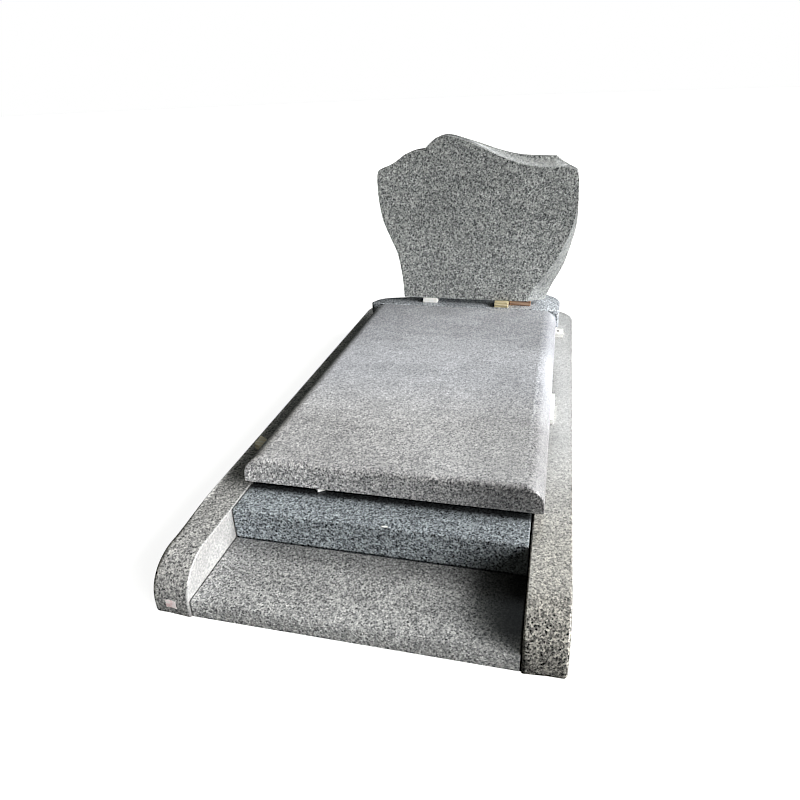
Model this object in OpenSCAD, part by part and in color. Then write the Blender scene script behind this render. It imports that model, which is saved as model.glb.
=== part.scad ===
// Granite headstone with its grave surround.
// Two long kerbs, a low front plate, a front step and a rear kerb make the
// frame on the ground. A cover slab (the ledger) and a base slab (the socle)
// lie on it, held a few millimetres clear by spacer blocks, and the headstone
// stands on the socle on two blocks and a packing strip.
// Millimetres. Origin: centre of the footprint on the ground. +X right,
// +Y towards the headstone, +Z up; the front faces -Y.

/* [Surround] */
// Width over the two side kerbs
overall_w = 1006; // [986:2:1020]
// Length of the side kerbs
overall_l = 2100; // [2100:10:2400]
// Width of each side kerb
kerb_w = 100; // [94:1:104]
// Height of the kerbs and the front step
kerb_h = 143; // [125:1:200]
// Radius of the rounded front ends of the kerbs
kerb_nose_r = 110; // [40:5:120]
// Plan radius of the two rear corners of the frame
rear_corner_r = 150; // [110:5:180]
// Width of the rear kerb, front to back, which carries the socle
rear_kerb_d = 260; // [230:5:300]

/* [Front recess] */
// Thickness of the front plate
plate_t = 50; // [30:1:70]
// How far the front plate sits behind the kerb ends
plate_setback = 5; // [0:1:20]
// Open joint on each side of the front plate
plate_joint = 2; // [0:1:5]
// Depth of the recess, kerb ends to the face of the step
recess_d = 259; // [150:1:350]
// Depth of the front step under the ledger
step_d = 200; // [160:5:240]
// Open joint between the step and the left kerb
step_joint_left = 3; // [0:1:8]
// Open joint between the step and the right kerb
step_joint_right = 4; // [0:1:8]

/* [Ledger] */
// Width of the ledger
ledger_w = 842; // [832:2:858]
// Thickness of the ledger
ledger_t = 80; // [68:1:100]
// Distance from the kerb ends to the ledger's front face
ledger_front = 368; // [350:1:378]
// Length of the ledger
ledger_l = 1406; // [1300:2:1410]
// Radius of the quarter round along both sides
ledger_side_r = 60; // [20:1:66]
// Radius along the front edge
ledger_front_r = 18; // [4:1:30]
// Sideways offset of the ledger on the kerbs
ledger_shift = 9; // [0:0.5:10]
// Gap that the spacer blocks hold under the ledger
ledger_gap = 19; // [8:1:30]

/* [Socle] */
// Thickness of the socle
socle_t = 80; // [60:1:120]
// Gap that the spacer blocks hold under the socle
socle_gap = 15; // [8:1:25]

/* [Headstone] */
// Greatest width of the headstone
headstone_w = 873; // [781:2:901]
// Height of the headstone itself
headstone_h = 708; // [600:2:900]
// Thickness of the headstone
headstone_t = 80; // [70:1:100]
// Depth of the carved hollow and bevel, from the front face
carve_d = 50; // [20:1:60]
// Height of the blocks under the headstone
headstone_gap = 22; // [10:1:30]

/* [Hidden] */

eps = 0.01;
inner_x = overall_w / 2 - kerb_w;          // inner face of each side kerb
y_front = -overall_l / 2;
y_rear = overall_l / 2;
y_step = y_front + recess_d;               // face of the step
ledger_z = kerb_h + ledger_gap;            // underside of the ledger
ledger_y = y_front + ledger_front;
ledger_top = ledger_z + ledger_t;
socle_z = kerb_h + socle_gap;
socle_top = socle_z + socle_t;
socle_y = y_rear - 310;                    // front face of the socle
stone_y = socle_y + 45;                    // front face of the headstone
stone_z = socle_top + headstone_gap;
arc_fn = 96;

granite = [0.55, 0.56, 0.57];
wood = [0.62, 0.48, 0.30];
foam = [0.92, 0.92, 0.90];

// ---- curves -----------------------------------------------------------

// Catmull-Rom curve between b and c; points may carry extra values
function curve(a, b, c, d, t) =
    0.5 * (2 * b + (c - a) * t + (2 * a - 5 * b + 4 * c - d) * t * t
           + (3 * b - a - 3 * c + d) * t * t * t);

// Smooth run through pts, n steps a span, without its last point
function run(pts, n) =
    [for (i = [0 : len(pts) - 2]) for (k = [0 : n - 1])
        curve(pts[max(i - 1, 0)], pts[i], pts[i + 1], pts[min(i + 2, len(pts) - 1)], k / n)];

// ---- frame on the ground ----------------------------------------------

// Plan of the whole frame, rounded at the two rear corners
module frame_plan() {
    w = overall_w / 2;
    r = rear_corner_r;
    union() {
        translate([-w, y_front]) square([2 * w, overall_l - r]);
        translate([-w + r, y_rear - r - eps]) square([2 * (w - r), r + eps]);
        for (s = [-1, 1]) translate([s * (w - r), y_rear - r]) circle(r = r, $fn = arc_fn);
    }
}

// Side view of a kerb, extruded across the frame: rounded at the front end
module kerb_bar(x0) {
    r = kerb_nose_r;
    intersection() {
        union() {
            translate([x0, y_front + r, 0]) cube([kerb_w, overall_l - r, kerb_h]);
            translate([x0, y_front, 0]) cube([kerb_w, r + eps, kerb_h - r]);
            translate([x0, y_front + r, kerb_h - r]) rotate([0, 90, 0])
                cylinder(r = r, h = kerb_w, $fn = arc_fn);
        }
        linear_extrude(height = kerb_h) frame_plan();
    }
}

module left_kerb() {
    color(granite) kerb_bar(-overall_w / 2);
}

module right_kerb() {
    color(granite) kerb_bar(inner_x);
}

module front_plate() {
    y0 = y_front + plate_setback;
    color(granite * 1.1)
        translate([-inner_x + plate_joint, y0, 0])
            cube([2 * (inner_x - plate_joint), y_step - y0, plate_t]);
}

module front_step() {
    color(granite * 0.95)
        translate([-inner_x + step_joint_left, y_step, 0])
            cube([2 * inner_x - step_joint_left - step_joint_right, step_d, kerb_h]);
}

module rear_kerb() {
    color(granite * 0.95)
        intersection() {
            translate([-inner_x, y_rear - rear_kerb_d, 0]) cube([2 * inner_x, rear_kerb_d, kerb_h]);
            linear_extrude(height = kerb_h) frame_plan();
        }
}

// ---- ledger -------------------------------------------------------------

// Cross-section of the ledger: flat top, quarter round down each side
module ledger_section() {
    w = ledger_w / 2;
    r = ledger_side_r;
    union() {
        translate([-w, 0]) square([2 * w, ledger_t - r]);
        translate([-w + r, 0]) square([2 * (w - r), ledger_t]);
        for (s = [-1, 1]) translate([s * (w - r), ledger_t - r]) circle(r = r, $fn = arc_fn);
    }
}

// Side view of the ledger: its front top edge is rounded
module ledger_profile() {
    r = ledger_front_r;
    union() {
        translate([0, 0]) square([ledger_l, ledger_t - r]);
        translate([r, 0]) square([ledger_l - r, ledger_t]);
        translate([r, ledger_t - r]) circle(r = r, $fn = arc_fn);
    }
}

module ledger() {
    color(granite * 1.15)
        translate([ledger_shift, ledger_y, ledger_z])
            intersection() {
                translate([0, ledger_l, 0]) rotate([90, 0, 0])
                    linear_extrude(height = ledger_l) ledger_section();
                translate([-ledger_w / 2, 0, 0]) rotate([90, 0, 90])
                    linear_extrude(height = ledger_w) ledger_profile();
            }
}

// ---- socle --------------------------------------------------------------

// Rear edge of the socle, from the left side round to the rear, measured
// from its front edge: the left end sweeps back in a long curve
SOCLE_SWEEP = [[100, 260], [0, 245], [-90, 210], [-170, 165], [-240, 130],
               [-300, 110], [-350, 96], [-386, 80], [-410, 58], [-425, 30], [-432, 10]];
socle_right = 440;
socle_corner_r = 140;

module socle_plan() {
    sweep = concat(run(SOCLE_SWEEP, 4), [SOCLE_SWEEP[len(SOCLE_SWEEP) - 1]]);
    c = socle_right - socle_corner_r;
    union() {
        polygon(concat(sweep, [[-425, 0], [c, 0], [c, 260]]));
        translate([c - eps, 0]) square([socle_corner_r - 10 + eps, 260 - socle_corner_r]);
        translate([c, 10]) square([socle_corner_r, 260 - socle_corner_r - 10]);
        translate([socle_right - 10, 10]) circle(r = 10, $fn = arc_fn);
        intersection() {
            translate([c, 260 - socle_corner_r]) circle(r = socle_corner_r, $fn = arc_fn);
            translate([c, 0]) square([socle_corner_r + 1, 260]);
        }
    }
}

module socle() {
    color(granite * 1.05)
        translate([0, socle_y, socle_z])
            linear_extrude(height = socle_t) socle_plan();
}

// ---- headstone ----------------------------------------------------------

// Outline of the stone, seen from the front, anticlockwise from the left
// foot. Each point is [x, height, inset x, inset height, hollow]: the inset
// is how far the carving moves the front face's edge in from the outline,
// and hollow runs from 0 for a flat bevel to 1 for a concave hollow.
STONE_FOOT = [[-280, 0, 0, 0, 0], [-120, 0, 0, 0, 0], [40, 0, 0, 0, 0],
              [200, 0, -10, 0, 0], [370, 0, -78, 0, 0]];
STONE_RIGHT = [[370, 0, -78, 0, 0], [393, 62, -73, 0, 0], [417, 110, -61, 0, 0],
               [440, 160, -53, 0, 0], [456, 212, -39, 0, 0], [468, 260, -28, 0, 0],
               [478, 305, -22, 0, 0], [484, 350, -15, 0, 0], [485, 395, -7, 0, 0],
               [482, 450, 0, 0, 0], [479, 500, 0, 0, 0], [476, 540, 0, 0, 0], [466, 567, 0, 0, 0]];
STONE_SHOULDER = [[466, 567, 0, 0, 0], [440, 579, 0, 0, 0.5], [405, 598, -4, -16, 1],
                  [380, 618, 0, -38, 1]];
STONE_WAVE = [[380, 618, 0, -38, 1], [310, 620, 0, -37, 1], [230, 625, 0, -27, 1],
              [150, 642, 0, -17, 1], [75, 666, 0, -8, 1], [0, 689, 0, 0, 1],
              [-70, 708, 0, 0, 1], [-117, 702, 0, 0, 1], [-152, 677, 0, 0, 1], [-174, 655, 0, 0, 1]];
STONE_TOP_LEFT = [[-174, 655, 0, 0, 1], [-215, 650, 0, 0, 1], [-258, 636, 0, 0, 1],
                  [-304, 605, 0, 0, 1], [-345, 585, 0, 0, 1], [-378, 573, 0, 0, 0]];
STONE_LEFT = [[-378, 573, 0, 0, 0], [-387, 550, 0, 0, 0], [-388, 495, 0, 0, 0],
              [-383, 430, 0, 0, 0], [-368, 352, 0, 0, 0], [-335, 272, 0, 0, 0],
              [-308, 210, 0, 0, 0], [-293, 140, 0, 0, 0], [-284, 70, 0, 0, 0], [-280, 0, 0, 0, 0]];

STONE = concat(run(STONE_FOOT, 1), run(STONE_RIGHT, 4), run(STONE_SHOULDER, 4),
               run(STONE_WAVE, 4), run(STONE_TOP_LEFT, 4), run(STONE_LEFT, 3));
stone_sx = headstone_w / 873;
stone_sz = headstone_h / 708;

// Depths of the rings of points, as shares of the carving's depth
RINGS = [0, 0.1, 0.25, 0.45, 0.65, 0.82, 0.94, 1];

// How much of the inset is left at a share s of the carving's depth
function inset(s, hollow) = (1 - hollow) * (1 - s) + hollow * sqrt(max(0, 1 - s * s));

// A point of the outline at a share s of the carving's depth
function stone_point(p, s, y) =
    [(p[0] + min(0, p[2]) * inset(s, p[4])) * stone_sx, y,
     (max(0, p[1]) + min(0, p[3]) * inset(s, p[4])) * stone_sz];

module headstone() {
    n = len(STONE);
    rows = len(RINGS);
    front_mid = (rows + 1) * n;
    back_mid = front_mid + 1;
    pts = concat(
        [for (s = RINGS) for (p = STONE) stone_point(p, s, s * carve_d)],
        [for (p = STONE) stone_point(p, 1, headstone_t)],
        [[40 * stone_sx, 0, 350 * stone_sz], [40 * stone_sx, headstone_t, 350 * stone_sz]]);
    faces = concat(
        [for (i = [0 : n - 1]) [front_mid, (i + 1) % n, i]],
        [for (r = [0 : rows - 1]) for (i = [0 : n - 1])
            [r * n + i, r * n + (i + 1) % n, (r + 1) * n + (i + 1) % n]],
        [for (r = [0 : rows - 1]) for (i = [0 : n - 1])
            [r * n + i, (r + 1) * n + (i + 1) % n, (r + 1) * n + i]],
        [for (i = [0 : n - 1]) [back_mid, rows * n + i, rows * n + (i + 1) % n]]);
    color(granite * 0.85)
        translate([0, stone_y, stone_z]) polyhedron(points = pts, faces = faces);
}

// ---- spacer blocks ------------------------------------------------------

module block(x0, x1, y0, y1, z0, z1) {
    translate([x0, y0, z0]) cube([x1 - x0, y1 - y0, z1 - z0]);
}

// Offcut of a board lying askew on the left kerb, its end cut along the kerb
module ledger_left_block() {
    y0 = ledger_y + 259;
    color(wood) translate([0, 0, kerb_h]) linear_extrude(height = ledger_gap)
        polygon([[-inner_x - 77, y0], [-inner_x - 77, y0 - 52],
                 [-inner_x - 1, y0 - 104], [-inner_x - 1, y0 - 52]]);
}

// Square block lying at an angle, one corner near the ledger's front
module ledger_front_block() {
    color(foam) translate([-195, ledger_y + 11, 0]) rotate([0, 0, 40])
        block(0, 40, 0, 40, kerb_h, ledger_z);
}

module ledger_front_right_block() {
    color(foam) block(210, 242, ledger_y + 52, ledger_y + 112, kerb_h, ledger_z);
}

// Folded strip of packing along the right side
module ledger_right_block() {
    color(foam) block(inner_x + 1, 442, -155, 45, kerb_h, ledger_z);
}

// Moulded block with a hole, part of it showing beside the ledger
module ledger_rear_right_block() {
    y0 = ledger_y + ledger_l - 64;
    color(foam) difference() {
        block(inner_x + 1, 463, y0, y0 + 60, kerb_h, ledger_z);
        translate([443, y0 + 30, kerb_h + 5]) cylinder(r = 5, h = ledger_gap, $fn = 32);
    }
}

module ledger_rear_left_block() {
    y0 = ledger_y + ledger_l - 64;
    color(wood) block(-445, -inner_x - 1, y0, y0 + 60, kerb_h, ledger_z);
}

module socle_left_block() {
    color(foam) block(-425, -inner_x - 1, socle_y + 5, socle_y + 35, kerb_h, socle_z);
}

module socle_right_block() {
    color(foam) block(inner_x + 1, 436, socle_y + 15, socle_y + 75, kerb_h, socle_z);
}

module socle_rear_blocks() {
    color(wood) {
        block(-90, -30, y_rear - 180, y_rear - 120, kerb_h, socle_z);
        block(220, 280, y_rear - 150, y_rear - 90, kerb_h, socle_z);
    }
}

module headstone_left_block() {
    color(foam) block(-190, -121, stone_y - 7, stone_y + 60, socle_top, stone_z);
}

module headstone_right_block() {
    color(wood) block(148, 211, stone_y - 35, stone_y + 60, socle_top, stone_z);
}

// Thin lath beside the wooden block
module headstone_packing_strip() {
    color(wood * 0.7) block(214, 310, stone_y + 4, stone_y + 54, socle_top, stone_z);
}

left_kerb();
right_kerb();
front_plate();
front_step();
rear_kerb();
ledger();
socle();
headstone();
ledger_left_block();
ledger_front_block();
ledger_front_right_block();
ledger_right_block();
ledger_rear_right_block();
ledger_rear_left_block();
socle_left_block();
socle_right_block();
socle_rear_blocks();
headstone_left_block();
headstone_right_block();
headstone_packing_strip();
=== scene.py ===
import math
import random

import bmesh
import bpy
from mathutils import Matrix, Vector, noise


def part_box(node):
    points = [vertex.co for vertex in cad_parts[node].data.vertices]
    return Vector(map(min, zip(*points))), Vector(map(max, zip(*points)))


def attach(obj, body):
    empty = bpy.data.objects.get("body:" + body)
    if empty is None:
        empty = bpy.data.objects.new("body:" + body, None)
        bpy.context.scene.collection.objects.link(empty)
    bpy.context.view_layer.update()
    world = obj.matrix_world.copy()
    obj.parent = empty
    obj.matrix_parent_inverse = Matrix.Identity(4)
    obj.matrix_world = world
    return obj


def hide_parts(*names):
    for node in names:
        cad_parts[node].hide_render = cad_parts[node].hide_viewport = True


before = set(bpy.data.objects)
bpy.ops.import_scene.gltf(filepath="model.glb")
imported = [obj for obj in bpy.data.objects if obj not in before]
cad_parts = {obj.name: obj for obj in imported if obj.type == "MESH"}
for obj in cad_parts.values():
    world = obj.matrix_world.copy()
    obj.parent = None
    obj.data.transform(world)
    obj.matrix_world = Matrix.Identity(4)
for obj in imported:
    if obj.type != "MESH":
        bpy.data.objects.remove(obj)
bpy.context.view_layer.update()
scene = bpy.context.scene

# ---------------------------------------------------------------- camera
# The photograph's viewing angle, for an 800 x 800 picture.
cam_data = bpy.data.cameras.new("camera")
cam = bpy.data.objects.new("camera", cam_data)
scene.collection.objects.link(cam)
scene.camera = cam
cam_data.sensor_width = 36.0
cam_data.sensor_fit = "HORIZONTAL"
cam_data.lens = 633.24 * 36.0 / 800.0
yaw, pitch, roll = -0.25349, -0.46288, -0.03768
fwd = Vector((math.sin(yaw) * math.cos(pitch), math.cos(yaw) * math.cos(pitch), math.sin(pitch)))
right0 = Vector((math.cos(yaw), -math.sin(yaw), 0.0))
up0 = right0.cross(fwd)
right = math.cos(roll) * right0 + math.sin(roll) * up0
up = -math.sin(roll) * right0 + math.cos(roll) * up0
cam.matrix_world = Matrix(((right.x, up.x, -fwd.x, 0.4131),
                           (right.y, up.y, -fwd.y, -2.0520),
                           (right.z, up.z, -fwd.z, 1.1688),
                           (0, 0, 0, 1)))


# ------------------------------------------------------------- node helpers
def add(tree, kind, inputs=None, **props):
    """A shader node with its properties set and its inputs set or linked."""
    n = tree.nodes.new(kind)
    for k, v in props.items():
        setattr(n, k, v)
    for k, v in (inputs or {}).items():
        if isinstance(v, bpy.types.NodeSocket):
            tree.links.new(v, n.inputs[k])
        else:
            n.inputs[k].default_value = v
    return n


def math_node(tree, op, a, b=None, c=None, clamp=False):
    n = tree.nodes.new("ShaderNodeMath")
    n.operation = op
    n.use_clamp = clamp
    for i, v in enumerate((a, b, c)):
        if v is None:
            continue
        if isinstance(v, bpy.types.NodeSocket):
            tree.links.new(v, n.inputs[i])
        else:
            n.inputs[i].default_value = v
    return n.outputs[0]


def map_range(tree, value, lo, hi, to_lo=0.0, to_hi=1.0, smooth=True):
    n = add(tree, "ShaderNodeMapRange", {"From Min": lo, "From Max": hi, "To Min": to_lo, "To Max": to_hi},
            interpolation_type="SMOOTHSTEP" if smooth else "LINEAR")
    tree.links.new(value, n.inputs["Value"])
    return n.outputs["Result"]


def ramp(tree, fac, stops, mode="LINEAR"):
    n = tree.nodes.new("ShaderNodeValToRGB")
    n.color_ramp.interpolation = mode
    els = n.color_ramp.elements
    while len(els) > 1:
        els.remove(els[0])
    els[0].position = stops[0][0]
    els[0].color = (*stops[0][1], 1)
    for pos, col in stops[1:]:
        e = els.new(pos)
        e.color = (*col, 1)
    tree.links.new(fac, n.inputs["Fac"])
    return n.outputs["Color"]


def mix(tree, fac, a, b, mode="MIX"):
    n = tree.nodes.new("ShaderNodeMix")
    n.data_type = "RGBA"
    n.blend_type = mode
    for key, v in (("Factor", fac), ("A", a), ("B", b)):
        sock = next(s for s in n.inputs if s.name == key and
                    (s.type == "RGBA" or (key == "Factor" and s.type == "VALUE")))
        if isinstance(v, bpy.types.NodeSocket):
            tree.links.new(v, sock)
        else:
            sock.default_value = v if key == "Factor" else (*v, 1)
    return next(s for s in n.outputs if s.type == "RGBA")


def start_material(name):
    mat = bpy.data.materials.new(name)
    mat.use_nodes = True
    t = mat.node_tree
    bsdf = t.nodes["Principled BSDF"]
    return mat, t, bsdf


def coords(tree, offset=(0, 0, 0), turn=(0, 0, 0), scale=(1, 1, 1)):
    tex = add(tree, "ShaderNodeTexCoord")
    m = add(tree, "ShaderNodeMapping", {"Vector": tex.outputs["Object"], "Location": offset,
                                        "Rotation": turn, "Scale": scale})
    return tex.outputs["Object"], m.outputs["Vector"]


def edge_wear(tree, radius, gain=7.0):
    """1 along worn arrises, 0 on flat faces."""
    bev = add(tree, "ShaderNodeBevel", {"Radius": radius}, samples=4)
    geo = add(tree, "ShaderNodeNewGeometry")
    dot = add(tree, "ShaderNodeVectorMath", {0: bev.outputs["Normal"], 1: geo.outputs["Normal"]},
              operation="DOT_PRODUCT")
    flat = math_node(tree, "SUBTRACT", 1.0, dot.outputs["Value"])
    return math_node(tree, "MULTIPLY", flat, gain, clamp=True)


# ---------------------------------------------------------------- granite
def granite(name, offset, gain=1.0, tint=(1.0, 1.0, 1.0), contrast=1.0, grain=1.0, rough=0.16, bands=0.0,
            ramp_x=None, ramp_y=None, ramp_z=None, pale_spot=None, fade=None, face=None, lit=0.45, lit_top=False,
            lit_gain=1.0, corner=None, patch=None, cool=None, worn=1.0, gloss=(0.75, 1.5)):
    """Polished light grey granite: feldspar, quartz and dark mica grains.
    ramp_x, ramp_y and ramp_z change its tone across the stone; at most of
    their uses this is painted light and shade. fade scales its contrast
    along y; where it lowers it, it is a painted sheen. face = (y, x from,
    x to, gain from, gain to, contrast) sets apart its front face, with
    painted shade along x. lit is the share of contrast left on faces that
    look to the right (and up, with lit_top), lit_gain their tone: painted
    light on the faces turned to it. corner and patch darken a sloping
    corner and a strip as painted shade (patch brightens, as painted light,
    where its gain is above 1); cool turns the tone bluer along y as painted
    sky light; worn is how much the arrises are, and gloss the spread of the polish."""
    mat, t, bsdf = start_material(name)
    obj, p = coords(t, offset, (0.3 * offset[0], 0.5, 0.2 * offset[1]))
    # grains with wavy borders
    wob = add(t, "ShaderNodeTexNoise", {"Vector": p, "Scale": 190.0 * grain, "Detail": 2.0})
    off = add(t, "ShaderNodeVectorMath", {0: wob.outputs["Color"], 1: (0.5, 0.5, 0.5)}, operation="SUBTRACT")
    off = add(t, "ShaderNodeVectorMath", {0: off.outputs[0], "Scale": 0.005 / grain}, operation="SCALE")
    pw = add(t, "ShaderNodeVectorMath", {0: p, 1: off.outputs[0]}, operation="ADD").outputs[0]
    spot = add(t, "ShaderNodeTexVoronoi", {"Vector": pw, "Scale": 135.0 * grain, "Randomness": 0.9})
    big = add(t, "ShaderNodeTexVoronoi", {"Vector": pw, "Scale": 225.0 * grain, "Randomness": 1.0})
    small = add(t, "ShaderNodeTexVoronoi", {"Vector": pw, "Scale": 400.0 * grain, "Randomness": 1.0})
    br = add(t, "ShaderNodeSeparateColor", {"Color": big.outputs["Color"]})
    sr = add(t, "ShaderNodeSeparateColor", {"Color": small.outputs["Color"]})
    fr = add(t, "ShaderNodeSeparateColor", {"Color": spot.outputs["Color"]})
    # one number from dark mica through quartz to pale feldspar: two nets of
    # grains, and mica gathered at the middles of a coarser net
    heart = map_range(t, spot.outputs["Distance"], 0.12, 0.62, -0.13, 0.13)
    heart = math_node(t, "MULTIPLY", heart, map_range(t, fr.outputs[0], 0.0, 1.0, 0.3, 1.6, smooth=False))
    v = math_node(t, "ADD", math_node(t, "MULTIPLY", br.outputs[0], 0.56),
                  math_node(t, "MULTIPLY", sr.outputs[0], 0.44))
    v = math_node(t, "ADD", v, heart)
    pos = add(t, "ShaderNodeSeparateXYZ", {"Vector": obj})
    gn = add(t, "ShaderNodeSeparateXYZ", {"Vector": add(t, "ShaderNodeNewGeometry").outputs["Normal"]})
    turn = gn.outputs["X"]
    if lit_top:
        turn = math_node(t, "MAXIMUM", turn, gn.outputs["Z"])
    # painted light: the grain contrast changes on faces turned to the right
    contrast = math_node(t, "MULTIPLY", map_range(t, turn, 0.2, 0.65, 1.0, lit), contrast)
    # contrast along y; where it is lowered, a painted sheen
    for f in fade or ():
        contrast = math_node(t, "MULTIPLY", map_range(t, pos.outputs["Y"], *f), contrast)
    # the front face: its own contrast here, and painted shade along x below
    if face:
        on_face = map_range(t, pos.outputs["Y"], face[0], face[0] + 0.008, 1.0, 0.0)
        contrast = math_node(t, "ADD", math_node(t, "MULTIPLY", contrast, math_node(t, "SUBTRACT", 1.0, on_face)),
                             math_node(t, "MULTIPLY", on_face, face[5]))
    v = math_node(t, "ADD", math_node(t, "MULTIPLY", math_node(t, "SUBTRACT", v, 0.5), contrast), 0.5)
    c = ramp(t, v, [(0.10, (0.012, 0.012, 0.013)), (0.28, (0.045, 0.046, 0.048)), (0.42, (0.165, 0.167, 0.17)),
                    (0.55, (0.33, 0.33, 0.33)), (0.70, (0.56, 0.56, 0.55)), (0.90, (0.84, 0.84, 0.82))])
    dark = map_range(t, v, 0.24, 0.36, 1.0, 0.0)
    # cloudy drift of the whole block
    cloud = add(t, "ShaderNodeTexNoise", {"Vector": p, "Scale": 7.0, "Detail": 4.0, "Roughness": 0.55})
    k = map_range(t, cloud.outputs["Fac"], 0.3, 0.7, 0.90, 1.10, smooth=False)
    if bands:
        bt = add(t, "ShaderNodeMapping", {"Vector": obj, "Rotation": (0.0, 0.0, -0.62), "Scale": (1.0, 7.0, 1.0)})
        bn = add(t, "ShaderNodeTexNoise", {"Vector": bt.outputs["Vector"], "Scale": 3.2, "Detail": 3.0})
        kb = map_range(t, bn.outputs["Fac"], 0.3, 0.7, -bands, bands, smooth=False)
        kb = math_node(t, "MULTIPLY", kb, map_range(t, gn.outputs["Z"], 0.85, 0.99))
        k = math_node(t, "MULTIPLY", k, math_node(t, "ADD", kb, 1.0))
    # painted shade on the front face, growing along x
    if face:
        side = map_range(t, pos.outputs["X"], *face[1:5], smooth=False)
        k = math_node(t, "MULTIPLY", k, math_node(t, "ADD", 1.0, math_node(
            t, "MULTIPLY", on_face, math_node(t, "SUBTRACT", side, 1.0))))
    # tone ramps: at most of their uses painted light and shade
    if ramp_y:
        for lo, hi, a, b in ramp_y:
            k = math_node(t, "MULTIPLY", k, map_range(t, pos.outputs["Y"], lo, hi, a, b))
    if ramp_z:
        for lo, hi, a, b in ramp_z:
            k = math_node(t, "MULTIPLY", k, map_range(t, pos.outputs["Z"], lo, hi, a, b))
    if ramp_x:
        for lo, hi, a, b in ramp_x:
            k = math_node(t, "MULTIPLY", k, map_range(t, pos.outputs["X"], lo, hi, a, b))
    # painted light: tone of the faces turned to the right
    if lit_gain != 1.0:
        k = math_node(t, "MULTIPLY", k, map_range(t, turn, 0.2, 0.65, 1.0, lit_gain))
    # painted shadow over a sloping corner
    if corner:
        cx0, cy0, ca, cb, lo, hi, g = corner
        s = math_node(t, "ADD", math_node(t, "DIVIDE", math_node(t, "SUBTRACT", cx0, pos.outputs["X"]), ca),
                      math_node(t, "DIVIDE", math_node(t, "SUBTRACT", cy0, pos.outputs["Y"]), cb))
        k = math_node(t, "MULTIPLY", k, map_range(t, s, lo, hi, g, 1.0))
    # painted patch: painted shade where its gain is below 1, painted light above
    if patch:
        px0, px1, py0, py1, g = patch
        s = math_node(t, "MULTIPLY", map_range(t, pos.outputs["X"], px0, px1),
                      map_range(t, pos.outputs["Y"], py0, py1))
        k = math_node(t, "MULTIPLY", k, math_node(t, "ADD", math_node(t, "MULTIPLY", s, g - 1.0), 1.0))
    # splashed dirt at the foot
    dn = add(t, "ShaderNodeTexNoise", {"Vector": p, "Scale": 24.0, "Detail": 4.0})
    low = map_range(t, math_node(t, "ADD", pos.outputs["Z"], math_node(
        t, "MULTIPLY", dn.outputs["Fac"], 0.05)), 0.02, 0.07, 0.80, 1.0)
    k = math_node(t, "MULTIPLY", k, low)
    k = math_node(t, "MULTIPLY", k, gain)
    red, blue = k, k
    # painted sky light: bluer along y
    if cool:
        red = math_node(t, "MULTIPLY", k, map_range(t, pos.outputs["Y"], cool[0], cool[1], 1.0, 1.0 - cool[2] / 2))
        blue = math_node(t, "MULTIPLY", k, map_range(t, pos.outputs["Y"], cool[0], cool[1], 1.0, 1.0 + cool[2]))
    kk = add(t, "ShaderNodeCombineColor", {0: math_node(t, "MULTIPLY", red, tint[0]),
                                           1: math_node(t, "MULTIPLY", k, tint[1]),
                                           2: math_node(t, "MULTIPLY", blue, tint[2])})
    c = mix(t, 1.0, c, kk.outputs[0], "MULTIPLY")
    # pale, slightly chipped arrises
    wear = edge_wear(t, 0.0035)
    wn = add(t, "ShaderNodeTexNoise", {"Vector": p, "Scale": 90.0, "Detail": 3.0})
    wmask = math_node(t, "MULTIPLY", wear, map_range(t, wn.outputs["Fac"], 0.38, 0.62, 0.15 * worn, 0.75 * worn))
    c = mix(t, wmask, c, (0.62, 0.62, 0.60))
    # a pale spot on the arris, where given
    if pale_spot:
        cx, cy, cz, rx, ry, rz = pale_spot
        d = add(t, "ShaderNodeVectorMath", {0: obj, 1: (cx, cy, cz)}, operation="SUBTRACT")
        d = add(t, "ShaderNodeVectorMath", {0: d.outputs[0], 1: (1 / rx, 1 / ry, 1 / rz)}, operation="MULTIPLY")
        ln = add(t, "ShaderNodeVectorMath", {0: d.outputs[0]}, operation="LENGTH")
        ll = math_node(t, "ADD", ln.outputs["Value"], math_node(t, "MULTIPLY", wn.outputs["Fac"], 0.9))
        cm = map_range(t, ll, 1.15, 1.4, 1.0, 0.0)
        c = mix(t, cm, c, (0.88, 0.87, 0.82))
    # sawn, unpolished underside
    geo = add(t, "ShaderNodeNewGeometry")
    nz = add(t, "ShaderNodeSeparateXYZ", {"Vector": geo.outputs["Normal"]})
    under = math_node(t, "LESS_THAN", nz.outputs["Z"], -0.9)
    c = mix(t, math_node(t, "MULTIPLY", under, 0.5), c, (0.34, 0.34, 0.33))
    t.links.new(c, bsdf.inputs["Base Color"])
    # polish
    rn = add(t, "ShaderNodeTexNoise", {"Vector": p, "Scale": 14.0, "Detail": 4.0})
    r = map_range(t, rn.outputs["Fac"], 0.3, 0.7, rough * gloss[0], rough * gloss[1], smooth=False)
    r = math_node(t, "ADD", r, math_node(t, "MULTIPLY", wmask, 0.35))
    r = math_node(t, "ADD", r, math_node(t, "MULTIPLY", dark, 0.08))
    r = math_node(t, "ADD", r, math_node(t, "MULTIPLY", under, 0.5), clamp=True)
    t.links.new(r, bsdf.inputs["Roughness"])
    bsdf.inputs["IOR"].default_value = 1.5
    pit = add(t, "ShaderNodeTexNoise", {"Vector": p, "Scale": 900.0, "Detail": 2.0})
    h = math_node(t, "ADD", math_node(t, "MULTIPLY", pit.outputs["Fac"], 0.4),
                  math_node(t, "MULTIPLY", br.outputs[1], 0.6))
    bump = add(t, "ShaderNodeBump", {"Height": h, "Strength": 0.10, "Distance": 0.0004})
    t.links.new(bump.outputs["Normal"], bsdf.inputs["Normal"])
    return mat


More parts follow.
